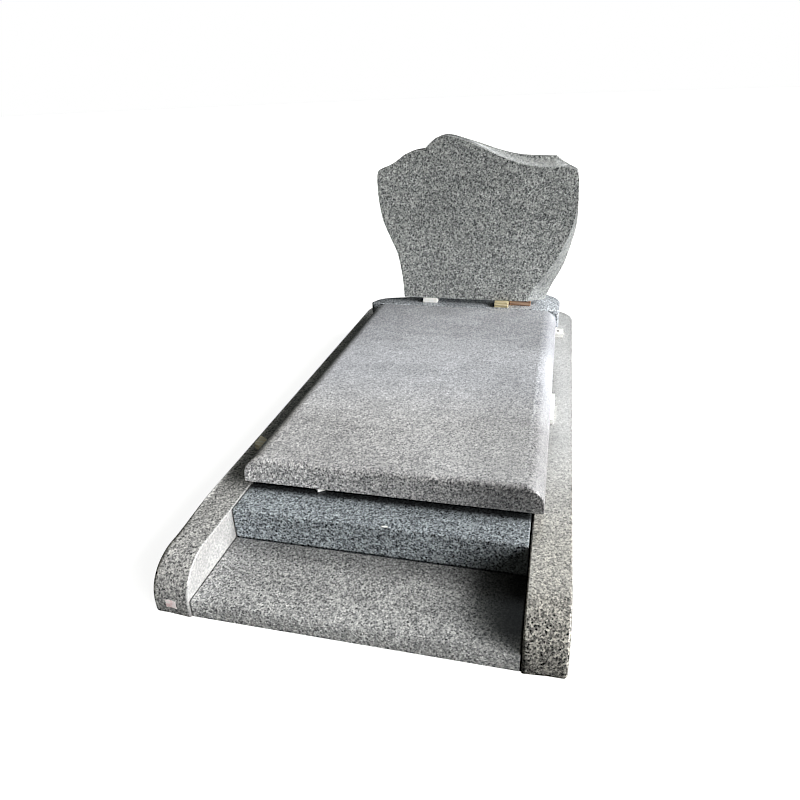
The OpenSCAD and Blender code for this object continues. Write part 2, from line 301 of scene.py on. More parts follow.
# ------------------------------------------------------- blocks' materials
def spacer_white(name, hole=None, tone=1.0):
    """Matte white moulded spacer, with dusty edges. hole = (x, y, radius) is
    painted dark inside, as painted shade. tone brightens the whole copy, as painted light."""
    mat, t, bsdf = start_material(name)
    obj, p = coords(t, (0.3, 0.1, 0.2))
    n1 = add(t, "ShaderNodeTexNoise", {"Vector": p, "Scale": 60.0, "Detail": 4.0})
    n2 = add(t, "ShaderNodeTexVoronoi", {"Vector": p, "Scale": 420.0})
    c = ramp(t, n1.outputs["Fac"], [(pos, tuple(min(0.97, v * tone) for v in col)) for pos, col in (
        (0.3, (0.74, 0.73, 0.69)), (0.5, (0.87, 0.87, 0.85)), (0.7, (0.93, 0.93, 0.92)))])
    wear = edge_wear(t, 0.002, 5.0)
    c = mix(t, math_node(t, "MULTIPLY", wear, 0.15), c, (0.62, 0.60, 0.55))
    # painted shade inside the hole
    if hole:
        d = add(t, "ShaderNodeVectorMath", {0: obj, 1: (hole[0], hole[1], 0.0)}, operation="SUBTRACT")
        d = add(t, "ShaderNodeVectorMath", {0: d.outputs[0], 1: (1.0, 1.0, 0.0)}, operation="MULTIPLY")
        d = add(t, "ShaderNodeVectorMath", {0: d.outputs[0]}, operation="LENGTH")
        c = mix(t, map_range(t, d.outputs["Value"], hole[2] * 1.02, hole[2] * 1.12, 1.0, 0.0), c, (0.02, 0.02, 0.02))
    t.links.new(c, bsdf.inputs["Base Color"])
    r = map_range(t, n1.outputs["Fac"], 0.3, 0.7, 0.5, 0.8)
    t.links.new(r, bsdf.inputs["Roughness"])
    bump = add(t, "ShaderNodeBump", {"Height": n2.outputs["Distance"], "Strength": 0.25, "Distance": 0.0006})
    t.links.new(bump.outputs["Normal"], bsdf.inputs["Normal"])
    return mat


def sawn_wood(name, dark, light, grain_axis=0, offset=(0, 0, 0)):
    """Rough sawn softwood, grain along one axis."""
    mat, t, bsdf = start_material(name)
    sc = [1.0, 1.0, 1.0]
    sc[grain_axis] = 0.08
    obj, p = coords(t, offset, (0.02, 0.05, 0.03), tuple(sc))
    n1 = add(t, "ShaderNodeTexNoise", {"Vector": p, "Scale": 260.0, "Detail": 6.0, "Distortion": 0.6})
    rings = add(t, "ShaderNodeTexWave", {"Vector": p, "Scale": 38.0, "Distortion": 3.0, "Detail": 3.0,
                                         "Detail Scale": 1.5}, wave_type="BANDS", bands_direction="DIAGONAL")
    f = math_node(t, "ADD", math_node(t, "MULTIPLY", n1.outputs["Fac"], 0.6),
                  math_node(t, "MULTIPLY", rings.outputs["Fac"], 0.4))
    c = ramp(t, f, [(0.25, dark), (0.5, tuple((a + b) / 2 for a, b in zip(dark, light))), (0.75, light)])
    spot = add(t, "ShaderNodeTexNoise", {"Vector": p, "Scale": 30.0, "Detail": 2.0})
    c = mix(t, map_range(t, spot.outputs["Fac"], 0.55, 0.75, 0.0, 0.4), c, tuple(v * 0.5 for v in dark))
    wear = edge_wear(t, 0.002, 5.0)
    c = mix(t, math_node(t, "MULTIPLY", wear, 0.3), c, tuple(min(1.0, v * 1.4) for v in light))
    t.links.new(c, bsdf.inputs["Base Color"])
    t.links.new(map_range(t, f, 0.2, 0.8, 0.85, 0.6), bsdf.inputs["Roughness"])
    bump = add(t, "ShaderNodeBump", {"Height": f, "Strength": 0.6, "Distance": 0.0008})
    t.links.new(bump.outputs["Normal"], bsdf.inputs["Normal"])
    return mat


def paper(name):
    """Blank pinkish white paper mark."""
    mat, t, bsdf = start_material(name)
    obj, p = coords(t, (0.1, 0.7, 0.4))
    n1 = add(t, "ShaderNodeTexNoise", {"Vector": p, "Scale": 130.0, "Detail": 5.0})
    c = ramp(t, n1.outputs["Fac"], [(0.3, (0.86, 0.68, 0.68)), (0.46, (0.97, 0.86, 0.87)), (0.62, (0.98, 0.93, 0.93))])
    t.links.new(c, bsdf.inputs["Base Color"])
    t.links.new(map_range(t, n1.outputs["Fac"], 0.3, 0.7, 0.55, 0.75), bsdf.inputs["Roughness"])
    bump = add(t, "ShaderNodeBump", {"Height": n1.outputs["Fac"], "Strength": 0.3, "Distance": 0.0005})
    t.links.new(bump.outputs["Normal"], bsdf.inputs["Normal"])
    return mat


# ------------------------------------------------------------ mesh helpers
def piece(name, verts, faces, mat, weights=None, width=0.003, segments=4, rides="root",
          stands_for=None, slot=None, sharp=32.0):
    """A closed mesh with rounded arrises. weights maps an edge (i, j) to its
    rounding radius in metres; None rounds every edge sharper than 30 degrees
    by width."""
    me = bpy.data.meshes.new(name)
    me.from_pydata([tuple(v) for v in verts], [], [tuple(f) for f in faces])
    me.validate()
    bm = bmesh.new()
    bm.from_mesh(me)
    bmesh.ops.recalc_face_normals(bm, faces=bm.faces)
    if weights is not None:
        top = max(weights.values())
        layer = bm.edges.layers.float.new("bevel_weight_edge")
        for e in bm.edges:
            a, b = e.verts[0].index, e.verts[1].index
            r = weights.get((a, b), weights.get((b, a), 0.0))
            e[layer] = r / top
    bm.to_mesh(me)
    bm.free()
    ob = bpy.data.objects.new(name, me)
    scene.collection.objects.link(ob)
    bev = ob.modifiers.new("round", "BEVEL")
    bev.segments = segments
    bev.use_clamp_overlap = False
    bev.miter_outer = "MITER_ARC"
    if weights is not None:
        bev.limit_method = "WEIGHT"
        bev.width = top
    else:
        bev.limit_method = "ANGLE"
        bev.angle_limit = math.radians(30)
        bev.width = width
    bpy.context.view_layer.update()
    dg = bpy.context.evaluated_depsgraph_get()
    done = bpy.data.meshes.new_from_object(ob.evaluated_get(dg))
    ob.modifiers.clear()
    ob.data = done
    done.name = name
    for p in done.polygons:
        p.use_smooth = True
    done.set_sharp_from_angle(angle=math.radians(sharp))
    done.materials.clear()
    done.materials.append(mat)
    wn = ob.modifiers.new("normals", "WEIGHTED_NORMAL")
    wn.keep_sharp = True
    wn.weight = 100
    if stands_for:
        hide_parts(stands_for)
    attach(ob, rides)
    return ob


def lerp_table(table, v):
    """Straight-line reading of a table of (x, y) pairs."""
    if v <= table[0][0]:
        return table[0][1]
    for (x0, y0), (x1, y1) in zip(table, table[1:]):
        if v <= x1:
            return y0 + (y1 - y0) * (v - x0) / (x1 - x0)
    return table[-1][1]


def slab(name, plan, z0, z1, mat, r_top=0.004, r_bottom=0.002, r_side=0.004, r_tops=(), **kw):
    """Upright prism over a plan outline, anticlockwise. r_tops gives some top
    edges their own radius, as (edge, radius) pairs."""
    n = len(plan)
    verts = [(x, y, z0) for x, y in plan] + [(x, y, z1) for x, y in plan]
    faces = [tuple(reversed(range(n))), tuple(range(n, 2 * n))]
    faces += [(i, (i + 1) % n, n + (i + 1) % n, n + i) for i in range(n)]
    w = {}
    for i in range(n):
        w[(i, (i + 1) % n)] = r_bottom
        w[(n + i, n + (i + 1) % n)] = r_top
        a = Vector(plan[i]) - Vector(plan[i - 1])
        b = Vector(plan[(i + 1) % n]) - Vector(plan[i])
        if a.angle(b) > math.radians(30):
            w[(i, n + i)] = r_side
    for i, r in r_tops:
        w[(n + i, n + (i + 1) % n)] = r
    return piece(name, verts, faces, mat, weights=w, **kw)


# ------------------------------------------------------- sizes, in metres
W = 0.503          # half the width over the kerbs
KERB = 0.100
H = 0.143
FRONT, REAR = -1.05, 1.05
NOSE = 0.110
CORNER = 0.150
INNER = W - KERB
STEP_Y = -0.791


def rear_arc(x_from, x_to, steps):
    """Points of the frame's rounded rear corner on the +X side, from one x to another."""
    cx, cy = W - CORNER, REAR - CORNER
    a0 = math.acos(min(1.0, (x_from - cx) / CORNER))
    a1 = math.acos(min(1.0, (x_to - cx) / CORNER))
    return [(cx + CORNER * math.cos(a0 + (a1 - a0) * i / steps),
             cy + CORNER * math.sin(a0 + (a1 - a0) * i / steps)) for i in range(steps + 1)]


def kerb(name, side, mat, outer_top, outer_nose, foot, **kw):
    """Side rail: quarter round nose at the front, plan rounding at the rear.
    outer_top and outer_nose give the outer arris's radius along y and along
    the nose's angle, foot the radii of the outer and inner front corners."""
    y_front = FRONT + 0.0007
    prof = [(y_front, 0.0)]
    steps = 28
    cy, cz = y_front + NOSE, H - NOSE
    nose = []
    for k in range(steps + 1):
        a = math.pi - (math.pi / 2) * k / steps
        nose.append((cy + NOSE * math.cos(a), cz + NOSE * math.sin(a)))
    top = [y for y in (-0.92, -0.90, -0.88, -0.86, -0.84, -0.82, -0.80, -0.78, -0.76, -0.74,
                       -0.70, -0.60, -0.30, 0.10, 0.50)]
    arc = rear_arc(W, INNER, 22)             # from the outer side to the inner side
    verts, idx = [], {}

    def v(key, co):
        idx[key] = len(verts)
        verts.append((side * co[0], co[1], co[2]))
        return idx[key]

    # outer side
    out_b = v("ob", (W, y_front, 0.0))
    out_2 = v("o2", (W, y_front + 0.045, 0.0))
    front_2 = v("f2", (W - 0.040, y_front, 0.0))
    out_nose = [v(("on", k), (W, y, z)) for k, (y, z) in enumerate(nose)]
    out_top = [v(("ot", k), (W, y, H)) for k, y in enumerate(top)]
    in_b = v("ib", (INNER, y_front, 0.0))
    in_nose = [v(("in", k), (INNER, y, z)) for k, (y, z) in enumerate(nose)]
    arc_top = [v(("at", k), (x, y, H)) for k, (x, y) in enumerate(arc)]
    arc_bot = [v(("ab", k), (x, y, 0.0)) for k, (x, y) in enumerate(arc)]
    faces = []
    faces.append([out_b, front_2, in_b] + list(reversed(arc_bot)) + [out_2])                               # underside
    faces.append([out_b, out_nose[0], in_nose[0], in_b, front_2])                                # front
    for k in range(steps):
        faces.append([out_nose[k], out_nose[k + 1], in_nose[k + 1], in_nose[k]])
    faces.append([in_nose[-1], out_nose[-1]] + out_top + arc_top)                       # top
    faces.append([out_b, out_2] + [arc_bot[0], arc_top[0]] + list(reversed(out_top)) + list(reversed(out_nose)))
    faces.append([in_b] + in_nose + [arc_top[-1], arc_bot[-1]])
    for k in range(len(arc) - 1):
        faces.append([arc_bot[k], arc_bot[k + 1], arc_top[k + 1], arc_top[k]])
    w = {}

    def e(a, b, r):
        w[(a, b)] = r

    e(out_b, out_nose[0], foot[0])
    e(in_b, in_nose[0], foot[1])
    e(out_b, front_2, min(0.010, foot[0]))
    e(front_2, in_b, 0.002)
    for k in range(steps):
        r = lerp_table(outer_nose, 90.0 * k / steps)
        e(out_nose[k], out_nose[k + 1], r)
        e(in_nose[k], in_nose[k + 1], lerp_table([(0, foot[1]), (30, 0.005), (90, 0.004)], 90.0 * k / steps))
    run = [out_nose[-1]] + out_top + [arc_top[0]]
    ys = [nose[-1][0]] + top + [arc[0][1]]
    for k in range(len(run) - 1):
        e(run[k], run[k + 1], lerp_table(outer_top, (ys[k] + ys[k + 1]) / 2))
    e(in_nose[-1], arc_top[-1], 0.004)
    e(out_b, out_2, min(0.010, foot[0]))
    e(out_2, arc_bot[0], 0.002)
    e(in_b, arc_bot[-1], 0.002)
    for k in range(len(arc) - 1):
        e(arc_top[k], arc_top[k + 1], 0.004)
        e(arc_bot[k], arc_bot[k + 1], 0.002)
    e(arc_top[-1], arc_bot[-1], 0.002)
    return piece(name, verts, faces, mat, weights=w, segments=5, stands_for=name,
                 slot="granite_" + name, **kw)


# ---------------------------------------------------------- the stones
# left kerb: painted shade beside the ledger, painted light on the outer arris and on the inner face turned to the
# right; a little darker behind the nose
m_left = granite("granite_left_kerb", (1.3, 0.2, 0.5), gain=1.24, tint=(1.0, 1.0, 1.0), contrast=0.42,
                 ramp_y=[(-0.90, -0.78, 1.0, 0.93), (-0.70, -0.60, 1.0, 0.85)], ramp_x=[(-0.503, -0.484, 2.1, 1.0)], lit=0.25, lit_gain=1.14)
# right kerb: painted shade on the front of the nose, a painted sheen lighter and with less grain towards the rear,
# faces turned to the right darker, bluer towards the rear as painted sky light
m_right = granite("granite_right_kerb", (4.1, 2.2, 0.9), gain=1.26, tint=(1.02, 1.0, 0.95), contrast=0.39,
                  ramp_y=[(-1.02, -0.90, 0.73, 1.12), (-0.85, -0.68, 1.0, 0.86), (-0.62, -0.30, 1.0, 1.38)],
                  fade=[(-1.04, -0.92, 1.7, 0.85), (-0.75, -0.20, 1.0, 0.4)], lit=1.7, lit_gain=0.85,
                  cool=(-0.80, -0.20, 0.05))
# front plate: front face lighter, painted shade along the step and in the crease against it, darker towards the right,
# and the right kerb's shadow painted into the recess corner and along the kerb
m_plate = granite("granite_front_plate", (2.6, 5.1, 0.3), gain=1.31, tint=(0.99, 1.0, 1.01), contrast=0.40,
                  ramp_y=[(-1.0450, -1.0442, 1.50, 0.90), (-1.0405, -1.038, 1.0, 1.08), (-1.0, -0.93, 1.02, 0.91), (-0.90, -0.83, 1.0, 0.72),
                          (-0.7950, -0.7925, 1.0, 0.2)],
                  ramp_x=[(0.05, 0.25, 1.0, 0.86)], corner=(0.403, -0.791, 0.15, 0.215, 0.85, 1.45, 0.68),
                  patch=(0.30, 0.385, -1.035, -0.975, 0.18), worn=0.15)
# front step: painted shadow under the ledger's front, painted shade in the crease above the plate and on the front face
# towards the right, a bluish tint that is painted shade colour, lighter at the left
m_step = granite("granite_front_step", (7.3, 1.9, 2.5), gain=0.92, tint=(0.915, 1.0, 1.075), contrast=0.52,
                 ramp_y=[(-0.700, -0.674, 1.0, 0.16)], ramp_z=[(0.0515, 0.0545, 0.25, 1.0)], ramp_x=[(-0.30, 0.10, 1.10, 1.0)],
                 pale_spot=(0.030, -0.7835, 0.1425, 0.011, 0.0045, 0.006), face=(-0.7905, 0.05, 0.33, 1.0, 0.76, 0.64))
m_rear = granite("granite_rear_kerb", (3.9, 8.2, 1.5), gain=1.1, contrast=0.50)
# ledger: painted highlight on the right round and a painted lighter patch right of the middle, lighter in the middle
# and darker towards the right and the rear, a painted sheen with less grain and bluer from the middle back, and painted
# shade on the front face growing to the right
m_ledger = granite("granite_ledger", (6.2, 3.3, 4.5), gain=1.41, tint=(1.0, 1.0, 1.02), contrast=0.29, rough=0.2,
                   bands=0.055, ramp_x=[(0.12, 0.33, 1.0, 0.74), (0.385, 0.42, 1.0, 1.27)],
                   ramp_y=[(-0.55, -0.10, 1.08, 1.27), (0.10, 0.45, 1.0, 0.82)],
                   fade=[(-0.50, 0.0, 1.0, 0.7)], face=(-0.681, -0.36, 0.36, 1.12, 0.52, 0.48), lit=0.4,
                   cool=(-0.45, 0.0, 0.04), patch=(0.15, 0.34, -0.45, 0.15, 1.33), gloss=(1.0, 1.2))
# socle: painted shade on the left end, painted light on the right end
m_socle = granite("granite_socle", (9.1, 0.7, 3.5), gain=1.33, tint=(0.95, 1.0, 1.07), contrast=0.44, lit=0.35,
                  ramp_x=[(-0.42, -0.30, 0.78, 1.0), (0.28, 0.40, 1.0, 1.3)])
# headstone: less grain contrast on faces turned right or up, as painted light; lighter towards both sides
m_stone = granite("granite_headstone", (5.5, 6.6, 7.5), gain=1.27, tint=(0.97, 1.0, 1.0), grain=0.76, contrast=0.43,
                  ramp_x=[(-0.28, -0.16, 1.12, 1.0), (0.16, 0.34, 1.0, 1.10)], lit=0.4, lit_top=True)

kerb("left_kerb", -1, m_left,
     [(-0.92, 0.024), (-0.87, 0.019), (-0.81, 0.011), (-0.76, 0.006), (-0.70, 0.005)],
     [(0, 0.013), (15, 0.013), (30, 0.014), (50, 0.018), (70, 0.024), (90, 0.024)], (0.013, 0.008))
kerb("right_kerb", 1, m_right,
     [(-0.92, 0.0045), (1.0, 0.0045)],
     [(0, 0.009), (40, 0.007), (90, 0.0045)], (0.010, 0.013))

slab("front_plate", [(-INNER + 0.002, FRONT + 0.005), (INNER - 0.002, FRONT + 0.005),
                     (INNER - 0.002, STEP_Y - 0.0006), (-INNER + 0.002, STEP_Y - 0.0006)],
     0.0, 0.050, m_plate, r_top=0.0035, r_bottom=0.002, r_side=0.003, r_tops=[(0, 0.0045)],
     stands_for="front_plate", slot="granite_front_plate")
slab("front_step", [(-INNER + 0.003, STEP_Y), (INNER - 0.004, STEP_Y),
                    (INNER - 0.004, STEP_Y + 0.200), (-INNER + 0.003, STEP_Y + 0.200)],
     0.0, H, m_step, r_top=0.0035, r_bottom=0.002, r_side=0.0025, r_tops=[(1, 0.0055)],
     stands_for="front_step", slot="granite_front_step")

rear_plan = [(-INNER, 0.790), (INNER, 0.790)] + rear_arc(INNER, W - CORNER, 12)
rear_plan += [(-x, y) for x, y in reversed(rear_arc(INNER, W - CORNER, 12))]
slab("rear_kerb", rear_plan, 0.0, H, m_rear, r_top=0.004, r_bottom=0.002, r_side=0.002,
     stands_for="rear_kerb", slot="granite_rear_kerb")


def ledger():
    """Cover slab: quarter rounds along both sides, smaller round in front. Its
    arrises are modelled, row by row, as an outline drawn in from the section."""
    hw, r, t, rb = 0.421, 0.060, 0.080, 0.004
    y0, y1, z0, sx = -0.682, 0.724, 0.162, 0.009
    half = []                        # (x, z, normal, front arris) from the bottom up
    for k in range(5):
        a = math.radians(-90 + 22.5 * k)
        half.append((hw - rb + rb * math.cos(a), rb + rb * math.sin(a), a, 0.0025))
    for k in range(25):
        a = math.pi / 2 * k / 24
        u = min(1.0, max(0.0, (a - 0.45) / (math.pi / 2 - 0.45)))
        half.append((hw - r + r * math.cos(a), t - r + r * math.sin(a), a, 0.004 + 0.014 * u * u * (3 - 2 * u)))
    n = 2 * len(half)
    verts = []

    def row(y_edge, inward, turn, even=None):
        """One outline at an angle round the arris, from the end face to the sides."""
        pts = []
        for x, z, a, rho in half:
            rho = even or rho
            d = rho * (1 - math.sin(turn))
            pts.append((x - d * math.cos(a), y_edge + inward * rho * (1 - math.cos(turn)), z - d * math.sin(a)))
        pts += [(-x, y, z) for x, y, z in reversed(pts)]
        verts.extend((sx + x, y, z0 + z) for x, y, z in pts)

    turns = 8
    for q in range(turns + 1):
        row(y0, 1.0, math.pi / 2 * q / turns)
    for q in range(turns, -1, -1):
        row(y1, -1.0, math.pi / 2 * q / turns, 0.003)
    last = (2 * turns + 1) * n
    faces = [tuple(range(n)), tuple(reversed(range(last, last + n)))]
    for q in range(2 * turns + 1):
        faces += [(q * n + i, (q + 1) * n + i, (q + 1) * n + (i + 1) % n, q * n + (i + 1) % n) for i in range(n)]
    return piece("ledger", verts, faces, m_ledger, stands_for="ledger", slot="granite_ledger")


ledger()


# --- curves shared with the CAD model
def curve(a, b, c, d, t):
    return [0.5 * (2 * q + (r - p) * t + (2 * p - 5 * q + 4 * r - s) * t * t + (3 * q - p - 3 * r + s) * t ** 3)
            for p, q, r, s in zip(a, b, c, d)]


def run(pts, n):
    out = []
    for i in range(len(pts) - 1):
        for k in range(n):
            out.append(curve(pts[max(i - 1, 0)], pts[i], pts[i + 1], pts[min(i + 2, len(pts) - 1)], k / n))
    return out


SOCLE_SWEEP = [[100, 260], [0, 245], [-90, 210], [-170, 165], [-240, 130],
               [-300, 110], [-350, 96], [-386, 80], [-410, 58], [-425, 30], [-432, 10]]


def socle():
    plan = [(p[0] / 1000, p[1] / 1000) for p in run(SOCLE_SWEEP, 5)] + [(-0.432, 0.010), (-0.429, 0.003), (-0.422, 0.0)]
    plan += [(0.430, 0.0)]
    plan += [(0.430 + 0.010 * math.sin(a), 0.010 - 0.010 * math.cos(a)) for a in [math.pi / 2 * k / 5 for k in range(1, 6)]]
    plan += [(0.300 + 0.140 * math.cos(a), 0.120 + 0.140 * math.sin(a)) for a in [math.pi / 2 * k / 20 for k in range(21)]]
    plan = [(x, y + 0.740) for x, y in plan]
    slab("socle", plan, 0.158, 0.238, m_socle, r_top=0.005, r_bottom=0.0025, r_side=0.002,
         stands_for="socle", slot="granite_socle")


socle()

STONE_FOOT = [[-280, 0, 0, 0, 0], [-120, 0, 0, 0, 0], [40, 0, 0, 0, 0],
              [200, 0, -10, 0, 0], [370, 0, -78, 0, 0]]
STONE_RIGHT = [[370, 0, -78, 0, 0], [393, 62, -73, 0, 0], [417, 110, -61, 0, 0],
               [440, 160, -53, 0, 0], [456, 212, -39, 0, 0], [468, 260, -28, 0, 0],
               [478, 305, -22, 0, 0], [484, 350, -15, 0, 0], [485, 395, -7, 0, 0],
               [482, 450, 0, 0, 0], [479, 500, 0, 0, 0], [476, 540, 0, 0, 0], [466, 567, 0, 0, 0]]
STONE_SHOULDER = [[466, 567, 0, 0, 0], [440, 579, 0, 0, 0.5], [405, 598, -4, -16, 1],
                  [380, 618, 0, -38, 1]]
STONE_WAVE = [[380, 618, 0, -38, 1], [310, 620, 0, -37, 1], [230, 625, 0, -27, 1],
              [150, 642, 0, -17, 1], [75, 666, 0, -8, 1], [0, 689, 0, 0, 1],
              [-70, 708, 0, 0, 1], [-117, 702, 0, 0, 1], [-152, 677, 0, 0, 1], [-174, 655, 0, 0, 1]]
STONE_TOP_LEFT = [[-174, 655, 0, 0, 1], [-215, 650, 0, 0, 1], [-258, 636, 0, 0, 1],
                  [-304, 605, 0, 0, 1], [-345, 585, 0, 0, 1], [-378, 573, 0, 0, 0]]
STONE_LEFT = [[-378, 573, 0, 0, 0], [-387, 550, 0, 0, 0], [-388, 495, 0, 0, 0],
              [-383, 430, 0, 0, 0], [-368, 352, 0, 0, 0], [-335, 272, 0, 0, 0],
              [-308, 210, 0, 0, 0], [-293, 140, 0, 0, 0], [-284, 70, 0, 0, 0], [-280, 0, 0, 0, 0]]


def headstone():
    out = run(STONE_FOOT, 4) + run(STONE_RIGHT, 5) + run(STONE_SHOULDER, 6)
    out += run(STONE_WAVE, 6) + run(STONE_TOP_LEFT, 6) + run(STONE_LEFT, 5)
    n = len(out)
    steps = 16
    carve, thick = 50.0, 80.0
    shares = [math.sin(math.pi / 2 * k / steps) for k in range(steps + 1)]
    shares[1:-1] = [min(s, 0.994) for s in shares[1:-1]]

    def at(p, s, y):
        hollow = min(1.0, max(0.0, p[4]))
        k = (1 - hollow) * (1 - s) + hollow * math.sqrt(max(0.0, 1 - s * s))
        return ((p[0] + min(0.0, p[2]) * k) / 1000, 0.785 + y / 1000,
                0.260 + (max(0.0, p[1]) + min(0.0, p[3]) * k) / 1000)

    verts = []
    for s in shares:
        verts += [at(p, s, s * carve) for p in out]
    verts += [at(p, 1.0, thick) for p in out]
    rows = len(shares) + 1
    faces = []
    for r in range(rows - 1):
        for i in range(n):
            j = (i + 1) % n
            faces.append((r * n + i, (r + 1) * n + i, (r + 1) * n + j, r * n + j))
    # both faces are flat n-gons
    faces.append(tuple(range(n)))
    faces.append(tuple(reversed(range((rows - 1) * n, rows * n))))
    w = {}
    for i in range(n):
        j = (i + 1) % n
        w[(i, j)] = 0.0022
        w[((rows - 1) * n + i, (rows - 1) * n + j)] = 0.0025
        h = (out[i][4] + out[j][4]) / 2
        if h > 0.6 and (out[i][3] + out[j][3]) / 2 < -12:
            w[((rows - 2) * n + i, (rows - 2) * n + j)] = 0.0012
    # corners where two runs of the outline meet
    for i in range(n):
        a = Vector(out[i][:2]) - Vector(out[i - 1][:2])
        b = Vector(out[(i + 1) % n][:2]) - Vector(out[i][:2])
        if a.length > 1e-6 and b.length > 1e-6 and a.angle(b) > math.radians(30):
            for r in range(rows - 1):
                w[(r * n + i, (r + 1) * n + i)] = 0.0012
    return piece("headstone", verts, faces, m_stone, weights=w, segments=3,
                 stands_for="headstone", slot="granite_headstone")


headstone()

# ---------------------------------------------------------- spacer blocks
m_white = spacer_white("white_block")
m_wood = sawn_wood("wood_block", (0.46, 0.39, 0.24), (0.90, 0.82, 0.60), 0)
m_lath = sawn_wood("packing_lath", (0.26, 0.16, 0.11), (0.56, 0.40, 0.30), 0, (0.4, 0.2, 0.1))


def rough_block(name, node, mat, rough, seed, lo=None, hi=None, r=0.0018, cells=7, place=None):
    """Block with soft edges and slightly uneven faces, inside its CAD box.
    place, if given, moves a block that lies askew from its own box."""
    if lo is None:
        lo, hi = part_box(node)
    lo, hi = Vector(lo), Vector(hi)
    bm = bmesh.new()
    bmesh.ops.create_cube(bm, size=1.0)
    for v in bm.verts:
        v.co = Vector((lo[i] + (v.co[i] + 0.5) * (hi[i] - lo[i]) for i in range(3)))
    bmesh.ops.bevel(bm, geom=list(bm.edges), offset=r, segments=2, affect="EDGES", profile=0.5)
    bmesh.ops.subdivide_edges(bm, edges=[e for e in bm.edges if e.calc_length() > 0.008], cuts=cells,
                              use_grid_fill=True)
    bmesh.ops.recalc_face_normals(bm, faces=bm.faces)
    bm.normal_update()
    for v in bm.verts:
        q = v.co * 140 + Vector((seed, seed * 0.7, seed * 1.3))
        d = (noise.noise(q) * 0.5 - 0.5) * rough      # always inwards
        v.co += v.normal * d
        if place:
            v.co = place(v.co)
    me = bpy.data.meshes.new(name)
    bm.to_mesh(me)
    bm.free()
    ob = bpy.data.objects.new(name, me)
    scene.collection.objects.link(ob)
    for p in me.polygons:
        p.use_smooth = True
    me.set_sharp_from_angle(angle=math.radians(50))
    me.materials.append(mat)
    ob.modifiers.new("normals", "WEIGHTED_NORMAL").keep_sharp = True
    if node:
        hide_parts(node)
    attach(ob, "root")
    return ob


def turned(co):
    """One corner at the ledger's front, turned 40 degrees."""
    return Matrix.Translation((-0.195, -0.671, 0.0)) @ Matrix.Rotation(math.radians(40), 4, "Z") @ co


def askew(co):
    """Sheared along the kerb, as a board end cut at an angle."""
    return Vector((co.x, co.y - (co.x + 0.480) * 52 / 76, co.z))


# painted light: a brighter copy of the white spacer material for two blocks
m_painted_bright = spacer_white("white_block_painted_bright", tone=1.25)
rough_block("ledger_front_block", "ledger_front_block", m_painted_bright, 0.0004, 1.0,
            (0.0, 0.0, H), (0.040, 0.040, 0.162), r=0.0008, place=turned)
rough_block("ledger_left_block", "ledger_left_block",
            sawn_wood("wood_block_pale", (0.82, 0.74, 0.57), (0.98, 0.95, 0.83), 0, (0.2, 0.1, 0.3)), 0.0010, 5.0,
            (-0.480, -0.475, H), (-0.404, -0.423, 0.162), place=askew)
for i, n in enumerate(("ledger_front_right_block", "ledger_right_block",
                       "socle_left_block", "socle_right_block", "headstone_left_block")):
    rough_block(n, n, m_painted_bright if n == "headstone_left_block" else m_white, 0.0008, 3.1 * i + 1)
for i, n in enumerate(("ledger_rear_left_block", "headstone_right_block")):
    rough_block(n, n, m_wood, 0.0010, 2.3 * i + 5)
rough_block("headstone_packing_strip", "headstone_packing_strip", m_lath, 0.0010, 9.2)
blk = rough_block("socle_rear_block_a", "socle_rear_blocks", m_wood, 0.0010, 4.4,
                  (-0.090, 0.870, 0.143), (-0.030, 0.930, 0.158))
rough_block("socle_rear_block_b", None, m_wood, 0.0010, 6.4,
            (0.220, 0.900, 0.143), (0.280, 0.960, 0.158))


def holed_block():
    """Moulded spacer with a round hole through it."""
    x0, x1, y0, y1, z0, z1 = 0.404, 0.463, 0.660, 0.720, 0.143, 0.162
    cx, cy, r = 0.440, 0.688, 0.0068
    m = 24
    # square outline split to the hole's directions
    hole = [(cx + r * math.cos(2 * math.pi * k / m), cy + r * math.sin(2 * math.pi * k / m)) for k in range(m)]
    rim = []
    for k in range(m):
        dx, dy = math.cos(2 * math.pi * k / m), math.sin(2 * math.pi * k / m)
        tx = ((x1 - cx) / dx) if dx > 1e-9 else ((x0 - cx) / dx if dx < -1e-9 else 1e9)
        ty = ((y1 - cy) / dy) if dy > 1e-9 else ((y0 - cy) / dy if dy < -1e-9 else 1e9)
        tt = min(tx, ty)
        rim.append((cx + dx * tt, cy + dy * tt))
    # snap the nearest rim points to the corners
    for c in ((x0, y0), (x0, y1), (x1, y0), (x1, y1)):
        k = min(range(m), key=lambda i: (rim[i][0] - c[0]) ** 2 + (rim[i][1] - c[1]) ** 2)
        rim[k] = c
    verts = [(x, y, z1) for x, y in rim] + [(x, y, z1) for x, y in hole]
    verts += [(x, y, z0) for x, y in rim] + [(x, y, z0 + 0.005) for x, y in hole]
    verts.append((cx, cy, z0 + 0.005))
    faces, w = [], {}
    for k in range(m):
        j = (k + 1) % m
        faces.append((k, j, m + j, m + k))
        faces.append((2 * m + j, 2 * m + k, k, j)[::-1])
        faces.append((m + k, m + j, 3 * m + j, 3 * m + k))
        faces.append((3 * m + k, 3 * m + j, 4 * m))
        w[(k, j)] = 0.0015
        w[(m + k, m + j)] = 0.0006
    faces.append(tuple(reversed(range(2 * m, 3 * m))))
    piece("ledger_rear_right_block", verts, faces, spacer_white("white_block_holed", (cx, cy, r)), weights=w, segments=2,
          stands_for="ledger_rear_right_block", slot="white_block")


holed_block()


